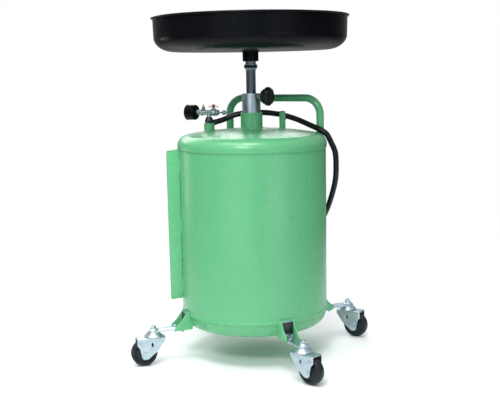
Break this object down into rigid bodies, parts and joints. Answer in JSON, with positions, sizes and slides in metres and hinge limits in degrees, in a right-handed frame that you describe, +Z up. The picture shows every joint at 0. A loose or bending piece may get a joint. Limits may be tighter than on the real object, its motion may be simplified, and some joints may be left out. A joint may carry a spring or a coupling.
{
  "type": "wheeled waste oil drainer",
  "caption": "Upright cylindrical tank on swivel casters with a wide drain bowl on a telescopic mast, a push handle, an air valve with gauge and a hose.",
  "frame": {"origin": "on the floor, on the tank's axis", "axes": "+Z up along the tank and mast, front of the drainer towards -Y, +X to its right seen from the front"},
  "size_m": [0.6958, 0.676, 0.962],
  "materials": {
    "green_paint": "glossy enamel over sheet steel",
    "black_enamel": "semi-gloss black enamel",
    "chrome": "polished plating",
    "zinc": "bright zinc plating, slightly blue",
    "dark_steel": "blackened steel, machined",
    "black_plastic": "moulded black plastic",
    "wheel_rubber": "hard black rubber tread",
    "rubber": "smooth black oil hose",
    "brass": "machined brass, dulled",
    "red_vinyl": "dipped red vinyl",
    "dial_white": "printed white dial",
    "clear_plastic": "clear, slightly cloudy",
    "nylon": "natural nylon"
  },
  "bodies": {
    "tank": {"tank_shell": "green_paint", "tank_top_head": "green_paint", "tank_bottom_head": "green_paint", "mast_boss": "green_paint", "guide_sleeve": "zinc", "guide_bush": "nylon", "push_handle": "green_paint", "hose_hook": "green_paint", "discharge_hose": "rubber", "hose_end": "dark_steel", "outlet_elbow": "dark_steel", "valve_bung": "green_paint", "air_tee": "zinc", "valve_body": "zinc", "relief_valve": "brass", "air_plug": "zinc", "gauge_case": "black_enamel", "gauge_dial": "dial_white", "gauge_lens": "clear_plastic", "sight_guard": "green_paint", "sight_tube": "clear_plastic", "sight_elbow_lower": "brass", "sight_elbow_upper": "brass", "leg_bracket_1": "green_paint", "leg_bracket_2": "green_paint", "leg_bracket_3": "green_paint", "leg_bracket_4": "green_paint", "leg_arm_1": "zinc", "leg_arm_2": "zinc", "leg_arm_3": "zinc", "leg_arm_4": "zinc", "kingpin_1": "zinc", "kingpin_2": "zinc", "kingpin_3": "zinc", "kingpin_4": "zinc"},
    "mast": {"mast_tube": "chrome", "mast_stop_ring": "zinc", "mast_cone": "zinc", "union_nut": "dark_steel"},
    "bowl": {"bowl_neck": "zinc", "bowl_socket": "black_enamel", "drain_bowl": "black_enamel", "bowl_strainer": "black_enamel"},
    "clamp": {"clamp_knob": "black_plastic", "clamp_screw": "zinc"},
    "lever": {"valve_lever": "red_vinyl", "valve_ball": "chrome"},
    "needle": {"gauge_needle": "black_plastic"},
    "caster_1": {"caster_fork_1": "zinc", "caster_axle_1": "zinc"},
    "wheel_1": {"caster_wheel_1": "wheel_rubber"},
    "caster_2": {"caster_fork_2": "zinc", "caster_axle_2": "zinc"},
    "wheel_2": {"caster_wheel_2": "wheel_rubber"},
    "caster_3": {"caster_fork_3": "zinc", "caster_axle_3": "zinc"},
    "wheel_3": {"caster_wheel_3": "wheel_rubber"},
    "caster_4": {"caster_fork_4": "zinc", "caster_axle_4": "zinc"},
    "wheel_4": {"caster_wheel_4": "wheel_rubber"}
  },
  "joints": [
    {"name": "mast_slide", "type": "slide", "parent": "tank", "child": "mast", "axis": [0, 0, 1], "range_m": [-0.05, 0.45]},
    {"name": "bowl_turn", "type": "hinge", "parent": "mast", "child": "bowl", "pos_m": [0, 0, 0.8285], "axis": [0, 0, 1], "continuous": true},
    {"name": "clamp_turn", "type": "hinge", "parent": "tank", "child": "clamp", "pos_m": [0, 0, 0.7393], "axis": [0.866, -0.5, 0], "range_deg": [0, 540]},
    {"name": "lever_turn", "type": "hinge", "parent": "tank", "child": "lever", "pos_m": [-0.10819, 0.02296, 0.695], "axis": [0, 0, 1], "range_deg": [0, 90]},
    {"name": "needle_turn", "type": "hinge", "parent": "tank", "child": "needle", "pos_m": [-0.18259, 0.06087, 0.695], "axis": [0.891, -0.454, 0], "range_deg": [0, 270], "stiffness_Nm_per_rad": 0.0002},
    {"name": "caster_1_swivel", "type": "hinge", "parent": "tank", "child": "caster_1", "pos_m": [-0.28564, -0.12301, 0.08], "axis": [0, 0, 1], "continuous": true},
    {"name": "wheel_1_spin", "type": "hinge", "parent": "caster_1", "child": "wheel_1", "pos_m": [-0.31227, -0.13167, 0.0375], "axis": [0.309, -0.9511, 0], "continuous": true},
    {"name": "caster_2_swivel", "type": "hinge", "parent": "tank", "child": "caster_2", "pos_m": [0.12301, -0.28564, 0.08], "axis": [0, 0, 1], "continuous": true},
    {"name": "wheel_2_spin", "type": "hinge", "parent": "caster_2", "child": "wheel_2", "pos_m": [0.14281, -0.30544, 0.0375], "axis": [0.7071, 0.7071, 0], "continuous": true},
    {"name": "caster_3_swivel", "type": "hinge", "parent": "tank", "child": "caster_3", "pos_m": [0.28564, 0.12301, 0.08], "axis": [0, 0, 1], "continuous": true},
    {"name": "wheel_3_spin", "type": "hinge", "parent": "caster_3", "child": "wheel_3", "pos_m": [0.30912, 0.10776, 0.0375], "axis": [0.5446, 0.8387, 0], "continuous": true},
    {"name": "caster_4_swivel", "type": "hinge", "parent": "tank", "child": "caster_4", "pos_m": [-0.12301, 0.28564, 0.08], "axis": [0, 0, 1], "continuous": true},
    {"name": "wheel_4_spin", "type": "hinge", "parent": "caster_4", "child": "wheel_4", "pos_m": [-0.10322, 0.30544, 0.0375], "axis": [-0.7071, 0.7071, 0], "continuous": true}
  ]
}
